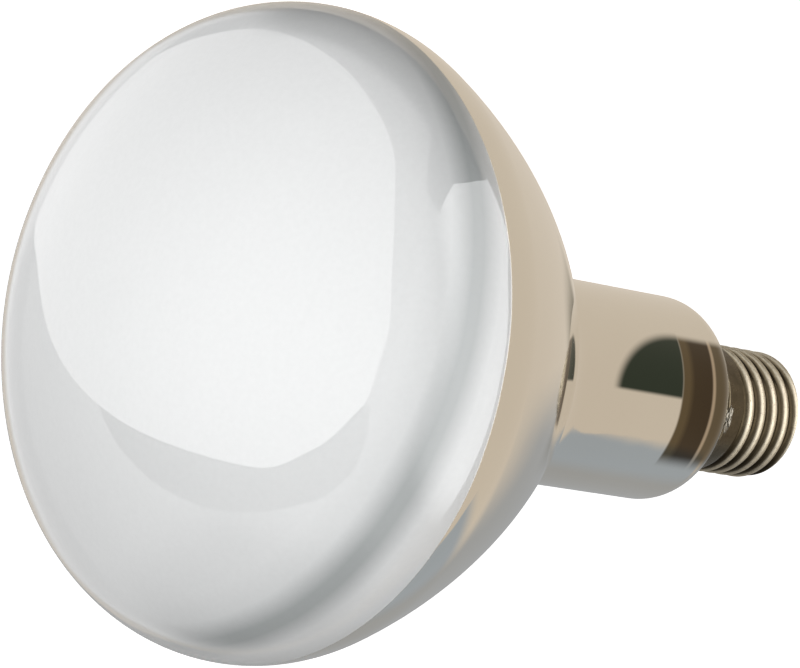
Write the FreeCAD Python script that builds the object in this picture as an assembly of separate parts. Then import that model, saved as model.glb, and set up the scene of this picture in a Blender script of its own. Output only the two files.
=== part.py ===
import FreeCAD, Part
import math
import os

# Reflector heat lamp: one blown glass envelope on an Edison screw cap.
# Millimetres and degrees. Z runs along the lamp, from the tip of the cap (z = 0) up to the face.
# Every profile is drawn as radius and height, then turned about Z.

# Glass envelope
rim_radius = 62.5
dome_radius = 79.4
rim_round = 23.7
bowl_radius = 129.0
bowl_turn = 22.4
root_radius = 12.0
neck_radius = 20.7
neck_length = 39.5
shoulder_radius = 6.0
seal_radius = 11.2
seal_length = 3.4

# Screw shell, rolled from sheet with a right-hand thread of rounded crests
sheet = 0.3
shell_length = 27.8
collar_radius = 13.2
collar_length = 9.4
collar_step = 0.8
crest_radius = 13.1
thread_depth = 1.05
thread_pitch = 3.629
crest_round = 1.025
flank_turn = 55.0
crest_facets = 3
mouth_radius = 10.4
mouth_length = 1.2
thread_start = -168.0

# Insulator of dark glass, centre contact and its solder
nose_height = 3.0
nose_hollow = 9.0
nose_margin = 0.7
insulator_depth = 3.4
contact_radius = 5.2
contact_thickness = 0.6
contact_chamfer = 0.25
solder_radius = 2.7
solder_height = 0.8

# Lead wires, and the solder on the side of the collar
lead_radius = 0.4
side_lead_offset = 7.5
side_lead_bend = 1.6
side_lead_drop = 5.2
side_solder_length = 4.4
side_solder_height = 0.8
side_azimuth = -86.0

# Fits
cement_gap = 0.3
lead_clearance = 0.1
ridge_overlap = 0.15
thread_trim_clearance = 0.1

# Heights, stacked from the tip of the cap
contact_top = solder_height + contact_thickness
shell_bottom = contact_top + nose_height
thread_bottom = shell_bottom + mouth_length
insulator_top = shell_bottom + insulator_depth
shell_top = shell_bottom + shell_length
thread_top = shell_top - collar_length
side_lead_height = shell_top - side_lead_drop
glass_bottom = shell_top + cement_gap
seal_bottom = glass_bottom - seal_length
shoulder_top = glass_bottom + shoulder_radius
neck_top = shoulder_top + neck_length

# Radii that follow
thread_root_radius = crest_radius - thread_depth
collar_bore_radius = collar_radius - sheet
lead_hole_radius = lead_radius + lead_clearance

UP = FreeCAD.Vector(0, 0, 1)
OUT = FreeCAD.Vector(1, 0, 0)
ORIGIN = FreeCAD.Vector(0, 0, 0)


def at(radius, height):
    """A point of a profile."""
    return FreeCAD.Vector(radius, 0, height)


def towards(angle):
    """A direction in a profile, turned by an angle in degrees from outwards to up."""
    return at(math.cos(math.radians(angle)), math.sin(math.radians(angle)))


def line(start, end):
    return Part.LineSegment(start, end).toShape()


def arc(centre, radius, first, last):
    """An arc about a centre, from one direction to another by the shorter way."""
    middle = (first + last).normalize()
    return Part.Arc(*(centre + direction * radius for direction in (first, middle, last))).toShape()


def outline(points):
    """Straight edges through the points and back to the first."""
    return [line(start, end) for start, end in zip(points, points[1:] + points[:1])]


def turned(edges):
    """The solid swept by a closed profile, turned once about the lamp's axis."""
    return Part.Face(Part.Wire(edges)).revolve(ORIGIN, UP)


def rod(radius, bottom, top):
    """An upright cylinder on the axis."""
    return Part.makeCylinder(radius, top - bottom, at(0, bottom), UP)


def to_side(shape):
    """A shape that was built on +X, turned to the side of the soldered lead."""
    return shape.rotated(ORIGIN, UP, side_azimuth)


def ball_for_cap(half_width, height):
    """Radius of the ball whose cap has this half width and height."""
    return (half_width ** 2 + height ** 2) / (2 * height)


def make_glass_bulb():
    """Domed face, rim, reflector bowl, hollow root, neck, shoulder, and the seal inside the cap."""
    # The rim round sits on the bowl's arc, and the root round touches both bowl and neck.
    rim_inset = rim_radius - rim_round
    bowl_inset = rim_inset - (bowl_radius - rim_round) * math.cos(math.radians(bowl_turn))
    bowl_rise = (bowl_radius - rim_round) * math.sin(math.radians(bowl_turn))
    root_inset = neck_radius + root_radius
    root_turn = math.degrees(math.acos((root_inset - bowl_inset) / (bowl_radius + root_radius)))
    root_centre = at(root_inset, neck_top)
    bowl_centre = root_centre - towards(-root_turn) * (bowl_radius + root_radius)
    rim_centre = at(rim_inset, bowl_centre.z - bowl_rise)

    # The dome of the face runs into the rim round with no corner.
    dome_turn = math.degrees(math.acos(rim_inset / (dome_radius - rim_round)))
    dome_centre = rim_centre - towards(dome_turn) * (dome_radius - rim_round)
    apex = dome_centre + at(0, dome_radius)

    shoulder_centre = at(neck_radius - shoulder_radius, shoulder_top)
    base = at(0, seal_bottom)
    return turned([
        arc(dome_centre, dome_radius, UP, towards(dome_turn)),
        arc(rim_centre, rim_round, towards(dome_turn), towards(-bowl_turn)),
        arc(bowl_centre, bowl_radius, towards(-bowl_turn), towards(-root_turn)),
        arc(root_centre, root_radius, -towards(-root_turn), -OUT),
        line(at(neck_radius, neck_top), at(neck_radius, shoulder_top)),
        arc(shoulder_centre, shoulder_radius, OUT, -UP),
        line(at(shoulder_centre.x, glass_bottom), at(seal_radius, glass_bottom)),
        line(at(seal_radius, glass_bottom), at(seal_radius, seal_bottom)),
        line(at(seal_radius, seal_bottom), base),
        line(base, apex)])


def shell_form(inset):
    """The shell's plain form, filled, with its sides set in from the outer face of the sheet."""
    return turned(outline([
        at(0, shell_top),
        at(collar_radius - inset, shell_top),
        at(collar_radius - inset, thread_top),
        at(thread_root_radius - inset, thread_top - collar_step),
        at(thread_root_radius - inset, thread_bottom),
        at(mouth_radius - inset, shell_bottom),
        at(0, shell_bottom)]))


def thread_ridge():
    """The thread's ridge: a crest of a few flats between straight flanks, swept along a helix."""
    crest_centre = at(crest_radius - crest_round, 0)
    facet_turn = 2 * flank_turn / crest_facets
    crest = [crest_centre + towards(flank_turn - facet_turn * step) * crest_round
             for step in range(crest_facets + 1)]
    foot_radius = thread_root_radius - ridge_overlap
    foot_rise = crest[0].z + (crest[0].x - foot_radius) / math.tan(math.radians(flank_turn))
    profile = Part.Wire(outline([at(foot_radius, foot_rise)] + crest + [at(foot_radius, -foot_rise)]))
    helix = Part.makeLongHelix(thread_pitch, thread_top - shell_bottom, crest_radius)
    ridge = Part.Wire(helix).makePipeShell([profile], True, True)
    ridge.translate(at(0, shell_bottom))
    ridge.rotate(ORIGIN, UP, thread_start)
    # The thread runs out in the tapered mouth: a wider copy of the shell's form trims it there.
    return ridge.common(shell_form(-thread_depth - thread_trim_clearance))


def make_screw_shell():
    """Sheet shell with a collar, the rolled thread, a tapered mouth and a hole for the side lead."""
    threaded = shell_form(0).fuse(thread_ridge())
    hole = Part.makeCylinder(lead_hole_radius, collar_radius, at(0, side_lead_height), OUT)
    return threaded.cut(shell_form(sheet)).cut(to_side(hole)).Solids[0]


def make_cap_insulator():
    """Glass poured into the mouth of the shell, with a hollowed nose that carries the contact."""
    plug = shell_form(sheet).common(rod(collar_radius, shell_bottom, insulator_top))
    wide = at(mouth_radius - sheet, shell_bottom)
    narrow = at(contact_radius + nose_margin, contact_top)
    chord = wide - narrow
    sag = nose_hollow - math.sqrt(nose_hollow ** 2 - (chord.Length / 2) ** 2)
    waist = (wide + narrow) / 2 + at(-chord.z, chord.x).normalize() * sag
    nose = turned([
        Part.Arc(narrow, waist, wide).toShape(),
        line(wide, at(0, shell_bottom)),
        line(at(0, shell_bottom), at(0, contact_top)),
        line(at(0, contact_top), narrow)])
    return plug.fuse(nose).cut(rod(lead_hole_radius, contact_top, insulator_top)).Solids[0]


def make_centre_contact():
    """Brass plate with a bevelled lower edge and a hole that the centre lead comes through."""
    return turned(outline([
        at(lead_hole_radius, contact_top),
        at(contact_radius, contact_top),
        at(contact_radius, solder_height + contact_chamfer),
        at(contact_radius - contact_chamfer, solder_height),
        at(lead_hole_radius, solder_height)]))


def make_centre_solder():
    """A low dome of solder: its tip is the lowest point of the lamp."""
    ball = ball_for_cap(solder_radius, solder_height)
    centre = at(0, ball)
    edge = at(solder_radius, solder_height)
    top = at(0, solder_height)
    return turned([
        arc(centre, ball, -UP, (edge - centre).normalize()),
        line(edge, top),
        line(top, ORIGIN)])


def make_capping_cement():
    """Cement between the seal and the collar, squeezed out to the collar's edge under the glass."""
    return turned(outline([
        at(seal_radius, seal_bottom),
        at(collar_bore_radius, seal_bottom),
        at(collar_bore_radius, shell_top),
        at(collar_radius, shell_top),
        at(collar_radius, glass_bottom),
        at(seal_radius, glass_bottom)]))


def make_centre_lead():
    """Wire from the seal straight down to the centre solder."""
    return rod(lead_radius, solder_height, seal_bottom)


def make_side_lead():
    """Wire that leaves the seal downwards, bends outwards and ends flush in the collar's hole."""
    bend_centre = at(side_lead_offset + side_lead_bend, side_lead_height + side_lead_bend)
    reach = math.sqrt(collar_radius ** 2 - lead_radius ** 2)
    start = at(side_lead_offset, seal_bottom)
    path = Part.Wire([
        line(start, at(side_lead_offset, bend_centre.z)),
        arc(bend_centre, side_lead_bend, -OUT, -UP),
        line(at(bend_centre.x, side_lead_height), at(reach, side_lead_height))])
    section = Part.Wire(Part.Circle(start, UP, lead_radius).toShape())
    return to_side(path.makePipeShell([section], True, True))


def make_side_solder():
    """A dab of solder on the collar: a ball that the collar cuts to a low cap."""
    ball = ball_for_cap(side_solder_length / 2, side_solder_height)
    centre = at(collar_radius + side_solder_height - ball, side_lead_height)
    dab = Part.makeSphere(ball, centre).cut(rod(collar_radius, shell_bottom, shell_top))
    return to_side(dab.Solids[0])


parts = {
    "glass_bulb": make_glass_bulb(),
    "screw_shell": make_screw_shell(),
    "cap_insulator": make_cap_insulator(),
    "centre_contact": make_centre_contact(),
    "centre_solder": make_centre_solder(),
    "side_solder": make_side_solder(),
    "capping_cement": make_capping_cement(),
    "centre_lead": make_centre_lead(),
    "side_lead": make_side_lead(),
}

os.makedirs("parts", exist_ok=True)
for name, shape in parts.items():
    shape.exportStep("parts/" + name + ".step")
    box = shape.BoundBox
    print(name, "solids", len(shape.Solids), "valid", shape.isValid(), "volume", round(shape.Volume, 2),
          "from", round(box.ZMin, 2), "to", round(box.ZMax, 2))
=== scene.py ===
# %% [markdown]
# # A reflector heat lamp
# The solids of this lamp come from a CAD model: a blown glass envelope on a screw cap.
# This lesson dresses them. It turns the glass and rolls the thread again as fine meshes,
# gives every piece a finish made of nodes, and lights it all as in a plain studio.
# The lamp's axis is Z: the cap's tip is at zero and the domed face is on top.

# %% Load the solids
import bpy
import bmesh
import math
from mathutils import Matrix, Vector, noise


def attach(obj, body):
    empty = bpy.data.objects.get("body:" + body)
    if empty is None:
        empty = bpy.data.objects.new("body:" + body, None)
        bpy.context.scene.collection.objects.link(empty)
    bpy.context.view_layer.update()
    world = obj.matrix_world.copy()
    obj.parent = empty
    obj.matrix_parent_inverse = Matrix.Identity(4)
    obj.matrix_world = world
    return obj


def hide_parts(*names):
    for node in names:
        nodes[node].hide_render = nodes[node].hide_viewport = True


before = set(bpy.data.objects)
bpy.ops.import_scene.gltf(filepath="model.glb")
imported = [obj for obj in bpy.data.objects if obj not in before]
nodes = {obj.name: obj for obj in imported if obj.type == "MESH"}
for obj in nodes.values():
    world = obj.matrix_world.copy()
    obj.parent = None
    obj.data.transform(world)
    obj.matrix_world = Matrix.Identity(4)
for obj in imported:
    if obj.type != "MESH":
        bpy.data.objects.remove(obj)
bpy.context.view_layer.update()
scene = bpy.context.scene
scene.view_settings.view_transform = "Standard"
MM = 0.001
UP = Vector((0, 0, 1))
ORIGIN = Vector((0, 0, 0))

# %% [markdown]
# ## The camera
# The picture was taken with a long lens, from the side of the face and a little above the lamp,
# which lies on its side in the frame. Here the lamp stands upright, so the camera does the turning:
# it goes round the lamp, rises, and rolls about its own lens. Setting the roll apart from the aim
# keeps the three angles easy to read.

# %% Place the camera
view_azimuth, view_elevation, view_roll = (math.radians(a) for a in (-82.0, 45.197, -80.119))
focal_length = 238.38
rim_height = 145.36 * MM
rim_in_view = Vector((-0.025033, 0.000268, -0.992692))

camera_data = bpy.data.cameras.new("studio_camera")
camera_data.sensor_width = 36.0
camera_data.lens = focal_length
camera_data.clip_start, camera_data.clip_end = 0.05, 30.0
camera = bpy.data.objects.new("studio_camera", camera_data)
scene.collection.objects.link(camera)
scene.camera = camera
towards_camera = Vector((math.cos(view_elevation) * math.cos(view_azimuth),
                         math.cos(view_elevation) * math.sin(view_azimuth), math.sin(view_elevation)))
camera_turn = (towards_camera.to_track_quat("Z", "Y").to_matrix()
               @ Matrix.Rotation(view_roll, 3, "Z"))
camera_place = UP * rim_height - camera_turn @ rim_in_view
camera.matrix_world = Matrix.Translation(camera_place) @ camera_turn.to_4x4()
print("camera stands at", [round(c, 3) for c in camera_place], "metres")


# %% [markdown]
# ## Turning a profile
# Glass bulbs are blown while they spin in a mould, so every section across them is a circle.
# A lathe works the same way: draw half of the outline once, then spin it about the axis.
# The outline itself is drawn by spinning too. One vertex swings about the centre of each arc
# and leaves edges behind, which gives true tangent arcs with no list of points.

# %% Helpers for drawing and turning
weld_distance = 0.002 * MM


def swing(bm, pen, centre, degrees, steps):
    """Draws an arc: the last vertex turns about a centre in the plane of the profile."""
    arc = bmesh.ops.spin(bm, geom=[pen], cent=centre, axis=(0, 1, 0),
                         angle=math.radians(degrees), steps=steps)
    return next(g for g in arc["geom_last"] if isinstance(g, bmesh.types.BMVert))


def draw_to(bm, pen, radius, height, steps=1):
    """Draws a straight run to a radius and height: a spin that only moves along and doesn't turn."""
    stride = (Vector((radius, 0, height)) - pen.co) / steps
    run = bmesh.ops.spin(bm, geom=[pen], cent=ORIGIN, axis=UP, dvec=stride, angle=0, steps=steps)
    return next(g for g in run["geom_last"] if isinstance(g, bmesh.types.BMVert))


def turn(bm, segments):
    """Spins the whole profile once about the lamp's axis, closes the seam and the poles."""
    bmesh.ops.spin(bm, geom=bm.verts[:] + bm.edges[:], cent=ORIGIN, axis=UP,
                   angle=math.tau, steps=segments, use_merge=True)
    bmesh.ops.remove_doubles(bm, verts=bm.verts, dist=weld_distance)
    bmesh.ops.recalc_face_normals(bm, faces=bm.faces)


def finish_piece(bm, name, corner=35.0):
    """Makes the object: smooth faces, with edges kept sharp where the surface turns a corner."""
    for face in bm.faces:
        face.smooth = True
    for edge in bm.edges:
        edge.smooth = len(edge.link_faces) == 2 and edge.calc_face_angle() < math.radians(corner)
    mesh = bpy.data.meshes.new(name)
    bm.to_mesh(mesh)
    bm.free()
    piece = bpy.data.objects.new(name, mesh)
    scene.collection.objects.link(piece)
    sizes = [max(v.co[i] for v in mesh.vertices) - min(v.co[i] for v in mesh.vertices) for i in range(3)]
    print(name, len(mesh.polygons), "faces,", [round(s / MM, 2) for s in sizes], "mm")
    return piece


# %% [markdown]
# ## The glass envelope
# From the top: a shallow dome, a tight round at the rim, the long curve of the reflector bowl,
# a hollow root, a straight neck and a shoulder that curls in over the cap. These are five arcs
# and a few straight runs, each tangent to the next, so a mirror finish shows no kinks. The sizes
# are the solid's own. The mesh is much finer than the solid's, because reflections show every facet.

# %% Turn the envelope
rim_radius, rim_round = 62.5 * MM, 23.7 * MM
dome_radius, bowl_radius, root_radius = 79.4 * MM, 129.0 * MM, 12.0 * MM
neck_radius, shoulder_radius, seal_radius = 20.7 * MM, 6.0 * MM, 11.2 * MM
bowl_turn = 22.4
neck_top, glass_bottom, seal_bottom = 78.0 * MM, 32.5 * MM, 29.1 * MM

rim_centre = Vector((rim_radius - rim_round, 0, rim_height))
dome_turn = math.degrees(math.acos(rim_centre.x / (dome_radius - rim_round)))
dome_centre = UP * (rim_height - (dome_radius - rim_round) * math.sin(math.radians(dome_turn)))
bowl_lean = math.radians(bowl_turn)
bowl_centre = rim_centre + Vector((-math.cos(bowl_lean), 0, math.sin(bowl_lean))) * (bowl_radius - rim_round)
root_centre = Vector((neck_radius + root_radius, 0, neck_top))
root_turn = math.degrees(math.acos((root_centre.x - bowl_centre.x) / (bowl_radius + root_radius)))
shoulder_top = glass_bottom + shoulder_radius
shoulder_centre = Vector((neck_radius - shoulder_radius, 0, shoulder_top))

bm = bmesh.new()
pen = bm.verts.new(dome_centre + UP * dome_radius)
pen = swing(bm, pen, dome_centre, 90 - dome_turn, steps=44)
pen = swing(bm, pen, rim_centre, dome_turn + bowl_turn, steps=40)
pen = swing(bm, pen, bowl_centre, root_turn - bowl_turn, steps=40)
pen = swing(bm, pen, root_centre, -root_turn, steps=20)
pen = draw_to(bm, pen, neck_radius, shoulder_top, steps=16)
pen = swing(bm, pen, shoulder_centre, 90, steps=20)
pen = draw_to(bm, pen, seal_radius, glass_bottom, steps=2)
pen = draw_to(bm, pen, seal_radius, seal_bottom)
pen = draw_to(bm, pen, 0, seal_bottom)
turn(bm, segments=256)
glass = finish_piece(bm, "glass_envelope")
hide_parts("glass_bulb")
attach(glass, "root")

# %% [markdown]
# ## The rolled screw shell
# A screw cap starts as a plain drawn tube of thin brass. Two rollers with round ribs then press the
# thread into it, so crest and hollow are equal arcs and the sheet keeps its thickness. The mesh is made
# the same way: turn the plain tube first, then move each vertex out by the roller's profile, which
# climbs one pitch in each turn. A modifier could displace it too, but then the arcs would need a texture.
# A small bead stiffens the collar. It is part of the profile, as one more arc.

# %% Turn the tube
shell_bottom, thread_bottom, thread_top, shell_top = 4.4 * MM, 5.6 * MM, 22.8 * MM, 32.2 * MM
mouth_radius, collar_radius, crest_radius = 10.4 * MM, 13.2 * MM, 13.1 * MM
thread_depth, thread_pitch, thread_start = 1.05 * MM, 3.629 * MM, math.radians(-168.0)
collar_step, sheet = 0.8 * MM, 0.3 * MM
bead_place, bead_width, bead_height = 27.2 * MM, 0.9 * MM, 0.3 * MM
thread_root = crest_radius - thread_depth
bead_round = ((bead_width / 2) ** 2 + bead_height ** 2) / (2 * bead_height)
bead_turn = 2 * math.degrees(math.asin(bead_width / 2 / bead_round))
bead_centre = Vector((collar_radius + bead_height - bead_round, 0, bead_place))
edge_centre = Vector((collar_radius - sheet, 0, shell_top - sheet))

bm = bmesh.new()
pen = bm.verts.new((mouth_radius, 0, shell_bottom))
pen = draw_to(bm, pen, thread_root, thread_bottom, steps=12)
pen = draw_to(bm, pen, thread_root, thread_top - collar_step, steps=100)
pen = draw_to(bm, pen, collar_radius, thread_top, steps=6)
pen = draw_to(bm, pen, collar_radius, bead_place - bead_width / 2, steps=6)
pen = swing(bm, pen, bead_centre, -bead_turn, steps=10)
pen = draw_to(bm, pen, collar_radius, shell_top - sheet, steps=6)
pen = swing(bm, pen, edge_centre, -90, steps=4)
turn(bm, segments=192)
print("plain tube:", len(bm.faces), "faces, bead round", round(bead_round / MM, 2), "mm")

# %% [markdown]
# The rollers' ribs are round, so the lift is one arc on each crest and one in each hollow, and they meet
# halfway up. In the tapered mouth the thread runs out: its share of the lift grows from nothing
# at the edge to all of it where the straight part begins. Solidify then gives the sheet its thickness.

# %% Roll the thread
roller_round = ((thread_pitch / 2) ** 2 + thread_depth ** 2) / (4 * thread_depth)


def rolled_lift(place):
    """How far the roller pushed the sheet out: nothing in a hollow, the full depth on a crest."""
    turns = (math.atan2(place.y, place.x) - thread_start) / math.tau
    along = (place.z - shell_bottom) / thread_pitch - turns
    from_crest = abs(along - round(along)) * thread_pitch
    if from_crest < thread_pitch / 4:
        return thread_depth - roller_round + math.sqrt(roller_round ** 2 - from_crest ** 2)
    from_hollow = thread_pitch / 2 - from_crest
    return roller_round - math.sqrt(roller_round ** 2 - from_hollow ** 2)


for vertex in bm.verts:
    radius = math.hypot(vertex.co.x, vertex.co.y)
    if vertex.co.z < thread_top:
        share = min(1.0, (vertex.co.z - shell_bottom) / (thread_bottom - shell_bottom))
        foot = min(thread_root, radius + share * thread_depth)
        rolled = max(radius, foot + rolled_lift(vertex.co) * share)
        rolled = min(rolled, max(radius, crest_radius))
        vertex.co.xy *= rolled / radius
bmesh.ops.recalc_face_normals(bm, faces=bm.faces)
bmesh.ops.solidify(bm, geom=bm.faces[:], thickness=sheet)
shell = finish_piece(bm, "rolled_shell", corner=50.0)
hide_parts("screw_shell")
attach(shell, "root")

# %% [markdown]
# ## The solder on the collar
# The side lead comes out through the collar and a smear of solder holds it there. It is put on by hand
# with an iron, so it is lumpy and follows the bead. A ball is pressed flat, its skin goes in and out
# with smooth noise, and then it is bent round the collar: what was sideways on the ball becomes
# an angle about the lamp's axis.

# %% Press the solder on
solder_length, solder_width, solder_height = 5.2 * MM, 1.9 * MM, 0.6 * MM
solder_place = 26.9 * MM
solder_azimuth = math.radians(-89.0)
big_lumps, big_fineness = 0.5, 2.3
small_lumps, small_fineness = 0.2, 6.0
flat_back = -0.15

bm = bmesh.new()
bmesh.ops.create_icosphere(bm, subdivisions=5, radius=1.0)
for vertex in bm.verts:
    lumps = 1 + big_lumps * noise.noise(vertex.co * big_fineness)
    lumps += small_lumps * noise.noise(vertex.co * small_fineness)
    out, sideways, along = vertex.co * lumps
    radius = collar_radius + max(out, flat_back) * solder_height
    angle = solder_azimuth + sideways * solder_length / 2 / collar_radius
    height = solder_place + along * solder_width / 2
    vertex.co = (radius * math.cos(angle), radius * math.sin(angle), height)
bmesh.ops.recalc_face_normals(bm, faces=bm.faces)
smear = finish_piece(bm, "solder_smear", corner=80.0)
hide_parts("side_solder")
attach(smear, "root")


# %% [markdown]
# ## Node helpers
# Every finish below is a small graph of nodes. These helpers add a node, set its sockets and wire it,
# so that each finish reads from top to bottom like a recipe. A source is always a socket of another
# node or a plain number or colour. The first helpers build the graph, and the next ones do its sums.

# %% Helpers that build a graph
def add(tree, kind, links=(), **values):
    """Adds a node, sets its properties, and fills its inputs, given as pairs of input and source."""
    node = tree.nodes.new(kind)
    for name, value in values.items():
        setattr(node, name, value)
    for socket, source in links:
        if isinstance(source, bpy.types.NodeSocket):
            tree.links.new(source, node.inputs[socket])
        else:
            node.inputs[socket].default_value = source
    return node


def feed(tree, node, sources):
    """Wires sources to the named inputs of a node."""
    for socket, source in sources.items():
        tree.links.new(source, node.inputs[socket])


def new_finish(name):
    """A material with an empty graph but for its surface shader and output."""
    material = bpy.data.materials.new(name)
    material.use_nodes = True
    tree = material.node_tree
    tree.nodes.clear()
    shader = tree.nodes.new("ShaderNodeBsdfPrincipled")
    output = tree.nodes.new("ShaderNodeOutputMaterial")
    tree.links.new(shader.outputs["BSDF"], output.inputs["Surface"])
    return material, tree, shader


def wear(piece, material):
    """Gives a piece its only finish."""
    piece.data.materials.clear()
    piece.data.materials.append(material)
    print(piece.name, "wears", material.name)


# %% [markdown]
# A mask is a value from nothing to one that says where an effect lies. Most masks here are ranges of a
# height or a radius, so one helper carries a value from one range to another, and another multiplies
# several of them together. Colours come from ramps along a value, or from blends by a mask.

# %% Helpers that do sums
def object_place(tree):
    """The place on the piece, in metres, from its own origin."""
    return add(tree, "ShaderNodeTexCoord").outputs["Object"]


def calc(tree, operation, *sources, **how):
    """One step of arithmetic on values."""
    return add(tree, "ShaderNodeMath", enumerate(sources), operation=operation, **how).outputs["Value"]


def vector_calc(tree, operation, *sources):
    """The same on vectors. A dot product or a length gives a value, and the others a vector."""
    node = add(tree, "ShaderNodeVectorMath", enumerate(sources), operation=operation)
    return node.outputs["Value" if operation in ("DOT_PRODUCT", "LENGTH") else "Vector"]


def remap(tree, value, from_low=0.0, from_high=1.0, to_low=0.0, to_high=1.0, **how):
    """Carries a value from one range over to another."""
    links = [("Value", value), ("From Min", from_low), ("From Max", from_high),
             ("To Min", to_low), ("To Max", to_high)]
    return add(tree, "ShaderNodeMapRange", links, **how).outputs["Result"]


def within(tree, limits):
    """A mask with soft edges. Each limit is a measure, where it is still full, and where it is clear."""
    mask = 1.0
    for measure, full, clear in limits:
        share = remap(tree, measure, full, clear, 1.0, 0.0, interpolation_type="SMOOTHSTEP")
        mask = calc(tree, "MULTIPLY", share, mask)
    return mask


def noise_of(tree, place, **settings):
    """Smooth noise, from nothing to one."""
    return add(tree, "ShaderNodeTexNoise", [("Vector", place), *settings.items()]).outputs["Fac"]


def bump(tree, height, strength, distance):
    """A normal that follows a height."""
    links = [("Strength", strength), ("Distance", distance), ("Height", height)]
    return add(tree, "ShaderNodeBump", links).outputs["Normal"]


def grey(level):
    """A colour with no hue, which also serves as a mask in a ramp."""
    return (level, level, level)


def ramp(tree, value, stops):
    """A colour ramp with stops of (place, colour)."""
    node = add(tree, "ShaderNodeValToRGB", [("Fac", value)])
    elements = node.color_ramp.elements
    while len(elements) < len(stops):
        elements.new(0.5)
    for element, (place, colour) in zip(elements, stops):
        element.position = place
        element.color = (*colour, 1.0)
    return node.outputs["Color"]


def blend_colours(tree, factor, first, second, how="MIX"):
    """Mixes two colours, each a socket or a plain colour."""
    # The Mix node has sockets for each type of data, under the same names. These are the colours' own.
    factor_input, first_input, second_input, colour_output = 0, 6, 7, 2
    links = [(factor_input, factor)]
    for socket, colour in ((first_input, first), (second_input, second)):
        plain = not isinstance(colour, bpy.types.NodeSocket)
        links.append((socket, (*colour, 1.0) if plain else colour))
    return add(tree, "ShaderNodeMix", links, data_type="RGBA", blend_type=how).outputs[colour_output]


# %% [markdown]
# ## Tarnish, shared by the metals
# Plated brass, contact brass, solder and wire all dull in the same way: cloudy patches, fine specks,
# and a surface that isn't quite even. One node group makes all three from Object coordinates, and each
# metal sets how strong they are. The group puts out only masks and a height, so each material keeps
# its own shader.

# %% Build the tarnish group
tarnish = bpy.data.node_groups.new("tarnish", "ShaderNodeTree")
for name, usual in (("Patch Size", 400.0), ("Speck Size", 4000.0), ("Patchiness", 0.5)):
    socket = tarnish.interface.new_socket(name, in_out="INPUT", socket_type="NodeSocketFloat")
    socket.default_value = usual
for name in ("Dulling", "Specks", "Height"):
    tarnish.interface.new_socket(name, in_out="OUTPUT", socket_type="NodeSocketFloat")
inside = add(tarnish, "NodeGroupInput").outputs
place = object_place(tarnish)
patches = noise_of(tarnish, place, Scale=inside["Patch Size"], Detail=4.0, Roughness=0.6)
specks = noise_of(tarnish, place, Scale=inside["Speck Size"], Detail=2.0)
feed(tarnish, add(tarnish, "NodeGroupOutput"), {
    "Dulling": remap(tarnish, patches, 0.35, 0.7, to_high=inside["Patchiness"]),
    "Specks": remap(tarnish, specks, 0.6, 0.75),
    "Height": calc(tarnish, "ADD", patches, specks)})
print("tarnish group has", len(tarnish.nodes), "nodes")

# %% [markdown]
# ## Glass with a mirror and a frosted face
# The envelope is one piece of clear glass, coated on the inside. From the rim down it has a vaporised
# metal mirror, which looks champagne through the glass. The face has a white frosting. One material
# does both, because it is one piece of glass: the height along the lamp drives a sharp mask for the
# mirror's edge. Slow noise lets that edge wander by less than a millimetre, as a real coat's edge does.

# %% Find the mirror's edge
mirror_edge, edge_blur, edge_wander = 145.7 * MM, 0.2 * MM, 0.8 * MM
coated_glass, tree, shader = new_finish("coated_glass")
place = object_place(tree)
axes = add(tree, "ShaderNodeSeparateXYZ", [("Vector", place)]).outputs
waves = noise_of(tree, place, Scale=45.0, Detail=2.0)
wander = calc(tree, "MULTIPLY", waves, edge_wander)
height = calc(tree, "ADD", axes["Z"], wander)
mirror = remap(tree, height, mirror_edge - edge_blur, mirror_edge + edge_blur, 1.0, 0.0)
streaks = noise_of(tree, place, Scale=18.0, Detail=3.0)
silver = ramp(tree, streaks, [(0.3, (0.78, 0.74, 0.67)), (0.7, (0.83, 0.80, 0.73))])
print("mirror up to", round(mirror_edge / MM, 1), "mm")

# %% [markdown]
# A soft grey band of painted shade lies on the rim's round: a darker frosting colour that stands in for the
# dark reflection that the round shows. The band isn't level: a dot product with a leaning direction gives
# its slope.
# It is painted only on the side towards the camera and fades out on the far side. A ramp draws its soft
# edges, and fine noise gives the frosting a grain.

# %% Frost the face and paint its shade band
band_up = (0.095, 0.09, 1.0)
band_low, band_high = 135 * MM, 185 * MM
near_side = (0.545, -0.839, 0.0)
fade_start, fade_end = -35 * MM, -5 * MM
# The second colour is painted shade, for the dark band on the rim's round.
frost_colour, band_shade = (0.78, 0.79, 0.79), (0.39, 0.41, 0.41)

level = calc(tree, "ADD", vector_calc(tree, "DOT_PRODUCT", place, band_up), wander)
# The band's mask: where the frosting takes the painted shade colour.
shaded = ramp(tree, remap(tree, level, band_low, band_high), [
    (0.17, grey(0.0)), (0.21, grey(0.12)), (0.29, grey(1.0)),
    (0.33, grey(1.0)), (0.41, grey(0.15)), (0.50, grey(0.0))])
nearness = vector_calc(tree, "DOT_PRODUCT", place, near_side)
near = remap(tree, nearness, fade_start, fade_end, interpolation_type="SMOOTHSTEP")
frosting = blend_colours(tree, calc(tree, "MULTIPLY", shaded, near), frost_colour, band_shade)
grain = remap(tree, noise_of(tree, place, Scale=900.0, Detail=3.0), to_low=0.97, to_high=1.03)
frosted = blend_colours(tree, 1.0, frosting, grain, "MULTIPLY")
print("thin frosting between", round(band_low / MM), "and", round(band_high / MM), "mm")
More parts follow.
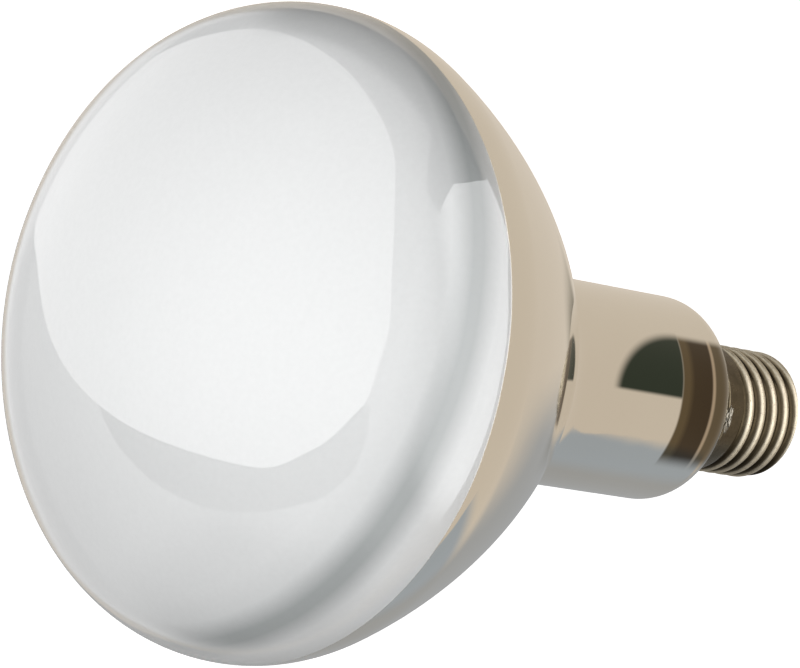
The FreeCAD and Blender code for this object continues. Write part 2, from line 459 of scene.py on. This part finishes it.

# %% [markdown]
# From the cap up, the near side of the neck has reflections painted into the mirror's colour: tan, one pale
# line, brown and tan again, and over them a dark patch with a round top. These could also be reflections,
# but they keep their height round the neck, so they are painted as part of the coat. They are painted
# reflections of dark and pale things near the neck, held at fixed heights round it, and the mirror stays
# metal under them. A ramp over the height gives the bands. The patch is the distance from its middle,
# measured in an ellipse. Limits in X, Y and height then cut both to the side that faces the camera.

# %% Paint reflections on the neck
bands_low, bands_high = 30.4 * MM, 55.4 * MM
# These colours, and the patch colour below, are painted reflections on the neck's mirror.
tan, pale = (0.13, 0.10, 0.055), (0.50, 0.41, 0.31)
brown, light_brown, upper_tan = (0.045, 0.026, 0.006), (0.050, 0.030, 0.008), (0.125, 0.09, 0.04)
patch_x, patch_z = 4.0112 * MM, 49.3852 * MM
patch_half_width, patch_half_height = 11.236 * MM, 20.4918 * MM
dark_reflection_colour = (0.015, 0.030, 0.016)
bands_top, patch_bottom = 50.0 * MM, 50.8 * MM
near_limit = (axes["Y"], -9 * MM, -5 * MM)
bands_right, bands_left = (axes["X"], 14.2 * MM, 15.6 * MM), (axes["X"], -7.5 * MM, -11.0 * MM)
patch_left = (axes["X"], 4.4 * MM, 3.4 * MM)
patch_edge = (0.90, 1.05)

# The bands are painted reflections, set by height.
bands = ramp(tree, remap(tree, height, bands_low, bands_high), [
    (0.395, tan), (0.415, pale), (0.43, pale), (0.45, brown),
    (0.66, light_brown), (0.725, upper_tan), (0.78, upper_tan)])
reflection_bands = within(tree, [(height, bands_top, patch_bottom), bands_right, bands_left, near_limit])
to_ellipse = (1 / patch_half_width, 0.0, 1 / patch_half_height)
ellipse_shift = (-patch_x / patch_half_width, 0.0, -patch_z / patch_half_height)
# The dark patch is a painted reflection: an ellipse round its middle.
reach = vector_calc(tree, "LENGTH", vector_calc(tree, "MULTIPLY_ADD", place, to_ellipse, ellipse_shift))
dark_reflection = within(tree, [(reach, *patch_edge), patch_left, (height, patch_bottom, bands_top), near_limit])
coat = blend_colours(tree, reflection_bands, silver, bands)
coat = blend_colours(tree, dark_reflection, coat, dark_reflection_colour)
print("bands up to", round(bands_top / MM, 1), "mm, patch up to",
      round((patch_z + patch_half_height) / MM, 1), "mm")

# %% [markdown]
# Last, the masks meet at the shader. The mirror is metal and smooth, the frosting is neither, and over
# everything lies a clear coat, the glass itself. Where the reflections are painted that coat is set weaker,
# so that the painted dark places stay dark. A weak bump from the slow noise gives the waviness of blown
# glass.

# %% Put the envelope's finish together
# The clear coat is weaker where reflections are painted.
painted_reflections = calc(tree, "MAXIMUM", reflection_bands, dark_reflection)
feed(tree, shader, {
    "Base Color": blend_colours(tree, mirror, frosted, coat),
    "Metallic": mirror,
    "Roughness": remap(tree, mirror, to_low=0.55, to_high=0.06),
    "Normal": bump(tree, waves, strength=0.1, distance=2 * MM),
    "Coat Weight": remap(tree, painted_reflections, to_low=1.0, to_high=0.4)})
shader.inputs["Coat Roughness"].default_value = 0.02
shader.inputs["Coat IOR"].default_value = 1.6
wear(glass, coated_glass)


# %% [markdown]
# ## Metals of the cap
# The shell is brass with a thin plating that has gone a dark bronze. The hollows of the thread are darker,
# partly grime and partly painted shade, and the crests are rubbed bright by the holder, so the distance from
# the axis drives both. The contact, the solder and the wires are the same recipe with other colours: a base,
# a duller colour in the patches, specks, and a fine bump.

# %% Helpers for metals
crest_scuffs = 0.25
metal_patchiness = 0.85


def worn_and_shaded_thread(tree, colour, inner, outer, grime_and_shade, rubbed):
    """Grime and painted shade between the inner and outer radius of a thread, and a rubbed colour on its
    crests.
    Gives the new colour and the mask of the crests."""
    across = vector_calc(tree, "MULTIPLY", object_place(tree), (1.0, 1.0, 0.0))
    depth = remap(tree, vector_calc(tree, "LENGTH", across), inner, outer, clamp=False)
    # The hollows darken as grime and as painted shade, the shade that falls deep in the thread.
    grime_and_shade_mask = ramp(tree, depth, [(0.15, grey(0.9)), (0.55, grey(0.0))])
    # A ramp ends at one, so half the depth goes in: the crests lie at 0.5, and the collar past them.
    half_depth = calc(tree, "MULTIPLY", depth, 0.5)
    crests = ramp(tree, half_depth, [
        (0.28, grey(0.0)), (0.41, grey(0.9)), (0.505, grey(0.9)), (0.535, grey(0.0))])
    colour = blend_colours(tree, grime_and_shade_mask, colour, grime_and_shade)
    return blend_colours(tree, crests, colour, rubbed), crests


def metal_finish(name, clean, dull, roughness, patch_size, unevenness, thread=None):
    """A tarnished metal. Roughness goes from clean to dull. Thread gives what worn_and_shaded_thread needs."""
    material, tree, shader = new_finish(name)
    aged = add(tree, "ShaderNodeGroup", node_tree=tarnish)
    aged.inputs["Patch Size"].default_value = patch_size
    aged.inputs["Patchiness"].default_value = metal_patchiness
    colour = blend_colours(tree, aged.outputs["Dulling"], clean, dull)
    rough = remap(tree, aged.outputs["Dulling"], to_low=roughness[0], to_high=roughness[1])
    if thread:
        colour, crests = worn_and_shaded_thread(tree, colour, *thread)
        rough = calc(tree, "MULTIPLY_ADD", crests, crest_scuffs, rough)
    feed(tree, shader, {
        "Base Color": blend_colours(tree, aged.outputs["Specks"], colour, dull),
        "Roughness": rough,
        "Normal": bump(tree, aged.outputs["Height"], unevenness, 0.1 * MM)})
    shader.inputs["Metallic"].default_value = 1.0
    return material


# %% [markdown]
# Each metal is then one call. The shell is the darkest and the only one with a worn thread, with painted
# shade in its hollows. Solder is greyer and lumpier, the contact is bare brass, and the lead wires have a
# coppery skin.

# %% Finish the metals
# The first colour is grime and painted shade for the thread's hollows.
grime_and_shade, rubbed = (0.026, 0.019, 0.010), (0.56, 0.50, 0.39)
plated_brass = metal_finish(
    "plated_brass", clean=(0.13, 0.106, 0.07), dull=(0.06, 0.047, 0.028), roughness=(0.24, 0.42),
    patch_size=350.0, unevenness=0.15, thread=(thread_root, crest_radius, grime_and_shade, rubbed))
contact_brass = metal_finish(
    "contact_brass", clean=(0.62, 0.48, 0.24), dull=(0.30, 0.21, 0.10), roughness=(0.25, 0.5),
    patch_size=500.0, unevenness=0.25)
solder = metal_finish(
    "solder", clean=(0.30, 0.28, 0.24), dull=(0.12, 0.105, 0.08), roughness=(0.28, 0.5),
    patch_size=900.0, unevenness=0.6)
lead_wire = metal_finish(
    "lead_wire", clean=(0.60, 0.42, 0.30), dull=(0.32, 0.22, 0.15), roughness=(0.3, 0.5),
    patch_size=900.0, unevenness=0.3)
wear(shell, plated_brass)
wear(nodes["centre_contact"], contact_brass)
wear(nodes["centre_solder"], solder)
wear(smear, solder)
wear(nodes["centre_lead"], lead_wire)
wear(nodes["side_lead"], lead_wire)

# %% [markdown]
# ## Black glass and cement
# The insulator is poured black glass with a faint purple cast and a few bubbles near the surface. The
# cement that holds the glass in the cap is a chalky, sandy paste. Both are plain dielectrics: noise
# gives the colour, and bump gives the pits.

# %% Finish the insulator and the cement
dark_glass, tree, shader = new_finish("dark_glass")
place = object_place(tree)
swirl = noise_of(tree, place, Scale=260.0, Detail=4.0, Distortion=1.2)
bubbles = add(tree, "ShaderNodeTexVoronoi", [("Vector", place), ("Scale", 900.0)]).outputs["Distance"]
pits = remap(tree, bubbles, 0.05, 0.22)
feed(tree, shader, {
    "Base Color": ramp(tree, swirl, [(0.3, (0.008, 0.007, 0.010)), (0.75, (0.030, 0.022, 0.034))]),
    "Roughness": remap(tree, swirl, to_low=0.08, to_high=0.3),
    "Normal": bump(tree, pits, strength=0.2, distance=0.1 * MM)})
wear(nodes["cap_insulator"], dark_glass)

cement, tree, shader = new_finish("cement")
sand = noise_of(tree, object_place(tree), Scale=2500.0, Detail=5.0, Roughness=0.7)
feed(tree, shader, {
    "Base Color": ramp(tree, sand, [(0.3, (0.36, 0.31, 0.24)), (0.7, (0.60, 0.55, 0.46))]),
    "Normal": bump(tree, sand, strength=0.6, distance=0.1 * MM)})
shader.inputs["Roughness"].default_value = 0.9
wear(nodes["capping_cement"], cement)


# %% [markdown]
# ## The studio
# The lamp is mostly a mirror, so its look is the look of the room round it. A white floor and a white
# world give the plain background, and mirrors see that same white. The world gives little light of
# its own: Light Path tells a ray that sees it from a ray that only gathers light. Everything flat
# in the studio is made by one helper, and none of it is part of the lamp.

# %% Helpers for the studio
def seen_directly(tree):
    """One for rays from the camera or a mirror or through glass, nothing for rays that gather light."""
    path = add(tree, "ShaderNodeLightPath").outputs
    mirrored = calc(tree, "ADD", path["Is Glossy Ray"], path["Is Transmission Ray"])
    return calc(tree, "ADD", path["Is Camera Ray"], mirrored, use_clamp=True)


def stage_paint(name):
    """An empty material for the studio's own surfaces."""
    material = bpy.data.materials.new(name)
    material.use_nodes = True
    material.node_tree.nodes.clear()
    return material, material.node_tree


def flat_card(name, matrix, paint, corners=None, rounding=0.0):
    """A flat thing in the studio: a unit square, or a shape cut from a few corners."""
    bm = bmesh.new()
    if corners:
        bm.faces.new([bm.verts.new((x, y, 0)) for x, y in corners])
        bmesh.ops.bevel(bm, geom=bm.verts[:], offset=rounding, affect="VERTICES",
                        segments=5, profile=0.5, material=-1)
    else:
        bmesh.ops.create_grid(bm, x_segments=1, y_segments=1, size=0.5)
    mesh = bpy.data.meshes.new(name)
    bm.to_mesh(mesh)
    bm.free()
    mesh.materials.append(paint)
    card = bpy.data.objects.new(name, mesh)
    card.matrix_world = matrix
    scene.collection.objects.link(card)
    print("studio has", name, "with", len(mesh.vertices), "corners")
    return card


# %% [markdown]
# The floor is matt and pale, and it glows a little for rays that see it, so that it is white in
# the picture and still takes the lamp's shadow. It is clear from below, so that a camera under it sees
# the lamp.

# %% World and floor
WHITE = (1.0, 1.0, 1.0, 1.0)
world_light = 0.10
floor_drop, floor_size, floor_glow = 0.32, 12.0, 0.75

world = bpy.data.worlds.new("studio")
scene.world = world
world.use_nodes = True
tree = world.node_tree
tree.nodes.clear()
strength = remap(tree, seen_directly(tree), to_low=world_light)
sky = add(tree, "ShaderNodeBackground", [("Color", WHITE), ("Strength", strength)])
tree.links.new(sky.outputs["Background"], add(tree, "ShaderNodeOutputWorld").inputs["Surface"])

floor_paint, tree = stage_paint("floor_paint")
matt = add(tree, "ShaderNodeBsdfDiffuse", [("Color", (0.85, 0.85, 0.85, 1.0))])
lift = calc(tree, "MULTIPLY", seen_directly(tree), floor_glow)
glow = add(tree, "ShaderNodeEmission", [("Color", WHITE), ("Strength", lift)])
both = add(tree, "ShaderNodeAddShader", [(0, matt.outputs["BSDF"]), (1, glow.outputs["Emission"])])
clear = add(tree, "ShaderNodeBsdfTransparent")
behind = add(tree, "ShaderNodeNewGeometry").outputs["Backfacing"]
sided = add(tree, "ShaderNodeMixShader", [
    ("Fac", behind), (1, both.outputs["Shader"]), (2, clear.outputs["BSDF"])])
tree.links.new(sided.outputs["Shader"], add(tree, "ShaderNodeOutputMaterial").inputs["Surface"])
floor_place = Matrix.Translation(UP * -floor_drop) @ Matrix.Diagonal((floor_size, floor_size, 1, 1))
flat_card("floor", floor_place, floor_paint)


# %% [markdown]
# ## Cards
# A photographer shapes the reflections in a shiny thing with cards: white ones to put a light in it, dark
# ones, called flags, to take light out. Here a card is a flat piece that glows by its own paint. Only
# mirrors see it, and it casts no shadow, so most cards can be moved with no change to the light.
# Soft edges come from the paint, which fades out along the card's own axes.

# %% Helpers for cards
def card_paint(name, colour, strength=1.0, fades=(), soft=0.0, lighting=None, dim=None):
    """Strength is how bright mirrors see the card, and lighting how much light it gives, if that differs.
    Each fade is an axis, where the card is still full and where it is clear. Soft fades a unit card's edges.
    Dim gives two places along X, and the share of the strength at the first."""
    material, tree = stage_paint(name)
    place = object_place(tree)
    axes = add(tree, "ShaderNodeSeparateXYZ", [("Vector", place)]).outputs
    limits = [(axes[axis], full, clear) for axis, full, clear in fades]
    if soft:
        away = vector_calc(tree, "ABSOLUTE", place)
        sides = add(tree, "ShaderNodeSeparateXYZ", [("Vector", away)]).outputs
        edge = 0.5
        limits += [(sides[axis], edge - soft, edge) for axis in "XY"]
    level = strength
    if dim:
        start, end, share = dim
        level = remap(tree, axes["X"], start, end, share * strength, strength)
    if lighting is not None:
        level = remap(tree, seen_directly(tree), to_low=lighting, to_high=level)
    glow = add(tree, "ShaderNodeEmission", [("Color", (*colour, 1.0)), ("Strength", level)])
    clear = add(tree, "ShaderNodeBsdfTransparent")
    faded = add(tree, "ShaderNodeMixShader", [
        ("Fac", within(tree, limits)), (1, clear.outputs["BSDF"]), (2, glow.outputs["Emission"])])
    tree.links.new(faded.outputs["Shader"], add(tree, "ShaderNodeOutputMaterial").inputs["Surface"])
    return material


def mirror_card(name, matrix, paint, corners=None, rounding=0.0, lights_up=False):
    """A card that shows in mirrors only and casts no shadow. Only one that lights up gives light."""
    card = flat_card(name, matrix, paint, corners, rounding)
    card.visible_camera = False
    card.visible_shadow = False
    card.visible_diffuse = lights_up


# %% [markdown]
# It is easiest to place a card by what the camera sees: a direction from the middle of the face, as
# right, up and towards the camera. The card hangs square to that direction. The corners of a cut card are
# given for a distance of one metre, so the card can move nearer or farther and look the same size.

# %% Helpers that hang cards round the face
face_middle = UP * (165 * MM)


def facing(direction, distance):
    """The place of a card square to a direction in the picture: right, up and towards the camera."""
    way = Vector(direction).normalized()
    right = Vector((0, 1, 0)).cross(way).normalized()
    axes = Matrix((right, way.cross(right), way)).transposed()
    turned = (camera_turn @ axes).to_4x4()
    return Matrix.Translation(face_middle) @ turned @ Matrix.Translation((0, 0, distance))


def cut_card(name, direction, distance, corners, rounding, paint, lights_up=False):
    """A card of a shape of its own."""
    wide = [(x * distance, y * distance) for x, y in corners]
    mirror_card(name, facing(direction, distance), paint, wide, rounding, lights_up)


def flag(name, direction, distance, size, colour, soft):
    """A plain rectangular card with soft edges."""
    place = facing(direction, distance) @ Matrix.Diagonal((*size, 1, 1))
    mirror_card(name, place, card_paint(name, colour, soft=soft))


# %% [markdown]
# ## Light on the face
# Two cards give light. One is shaped like a sail, and the clear coat shows it as the sharp pale shape on
# the dome. The other runs along the right and gives the bright side of the rim. The flags round them
# make the face grey where no light shows, and a dark one gives the darker crescent along the sail's edge.
# A broad area light from the front, which mirrors don't see, lights the frosting and the cap.

# %% Hang the lights
sail_corners = [
    (-3.9, 0.38), (-1.2, -0.06), (0.3, -0.86), (1.2, -1.42), (2.4, -1.55), (3.8, -1.2), (3.75, 0.2),
    (2.3, 1.35), (1.1, 2.1), (0.1, 1.9), (-0.67, 1.45), (-1.35, 1.05), (-2.6, 0.72)]
sail_paint = card_paint("sail_light", grey(1.0), strength=2.7, lighting=0.42, dim=(-2.4, 0.4, 0.4))
cut_card("sail_light", direction=(-0.938, 0.325, 0.122), distance=0.8, corners=sail_corners,
         rounding=0.2, paint=sail_paint, lights_up=True)

side_corners = [
    (1.17, 0.99), (0.74, 0.99), (0.41, 1.0), (0.02, 1.13), (-0.49, 1.42), (-0.89, 1.63), (-1.33, 1.33),
    (-1.33, -1.17), (0.24, -1.17), (0.19, -0.11), (0.27, 0.33), (0.83, 0.94)]
side_distance = 0.55
side_fades = [
    ("X", -0.5 * side_distance, -1.4 * side_distance),
    ("Y", -0.6 * side_distance, -1.15 * side_distance)]
side_paint = card_paint("side_light", grey(1.0), strength=3.5, fades=side_fades, lighting=0.3)
cut_card("side_light", direction=(0.92, -0.10, 0.27), distance=side_distance, corners=side_corners,
         rounding=0.03, paint=side_paint, lights_up=True)

# %% [markdown]
# Flags are the same cards in grey or near black. The halo flag hangs far off, behind the sail, so that it
# never covers the sail's light.

# %% Hang the flags and the fill
dark = (0.04, 0.045, 0.045)
flag("top_flag", direction=(0.36, 0.78, -0.50), distance=0.9, size=(1.5, 1.3), colour=dark, soft=0.2)
flag("right_flag", direction=(0.66, 0.74, 0.12), distance=0.9, size=(1.3, 0.5), colour=dark, soft=0.02)
flag("front_flag", direction=(0.62, 0.10, 0.78), distance=1.3, size=(1.0, 1.6), colour=grey(0.20), soft=0.3)
flag("low_flag", direction=(-0.30, -0.92, -0.05), distance=0.9, size=(1.7, 1.5), colour=grey(0.15), soft=0.3)
halo_corners = [
    (-1.45, 0.46), (-1.25, 0.26), (-1.0, 0.10), (-0.69, -0.03), (-0.38, -0.12), (-0.07, -0.155),
    (0.25, -0.145), (0.45, -0.06), (0.6, 0.10), (0.68, 0.27), (0.0, 0.30), (-1.2, 0.60)]
cut_card("halo_flag", direction=(-0.62, -0.50, 0.60), distance=5.0, corners=halo_corners,
         rounding=0.1, paint=card_paint("halo_flag", dark))

fill_data = bpy.data.lights.new("front_fill", "AREA")
fill_data.size = 0.6
fill_data.energy = 16.6
fill = bpy.data.objects.new("front_fill", fill_data)
fill.matrix_world = facing(direction=(-0.17, -0.13, 1.0), distance=1.5)
fill.visible_glossy = False
scene.collection.objects.link(fill)
fill_place = [round(c, 2) for c in fill.matrix_world.translation]
print("fill light at", fill_place, "metres")


# %% [markdown]
# ## Colour in the bowl
# The bowl faces down and sideways, so it mirrors the floor. Cards that lie just over the floor colour it:
# a broad warm one for the champagne tone, a cool one and a grey one on one side, and a small dark spot for
# the hollow where bowl and neck meet. Each lies a little over the last, so no two share a plane.

# %% Lay cards on the floor
def floor_card(name, lift, paint, corners=None, size=1.0, middle=(0.0, 0.0)):
    """A card that lies just over the floor."""
    place = Matrix.Translation((*middle, lift - floor_drop)) @ Matrix.Diagonal((size, size, 1, 1))
    mirror_card(name, place, paint, corners, rounding=0.02)


warm, cool = (0.66, 0.585, 0.49), (0.38, 0.42, 0.46)
shade, root_dark = (0.37, 0.375, 0.375), (0.14, 0.13, 0.09)
floor_card("warm_card", lift=6 * MM, paint=card_paint("warm_card", warm, soft=0.12), size=2.4)
cool_paint = card_paint("cool_card", cool, fades=[("X", -0.27, -0.19)])
floor_card("cool_card", lift=12 * MM, paint=cool_paint,
           corners=[(-0.15, -0.28), (-0.15, 0.10), (-0.60, 0.10), (-0.75, 0.0), (-0.60, -0.28)])
shade_paint = card_paint("shade_card", shade, fades=[("Y", 0.08, -0.09), ("X", -0.07, 0.01)])
floor_card("shade_card", lift=14 * MM, paint=shade_paint,
           corners=[(-0.80, -0.10), (0.02, -0.10), (0.02, 0.70), (-0.80, 0.70)])
root_paint = card_paint("root_flag", root_dark, soft=0.4)
floor_card("root_flag", lift=16 * MM, paint=root_paint, size=0.16, middle=(-0.015, 0.18))
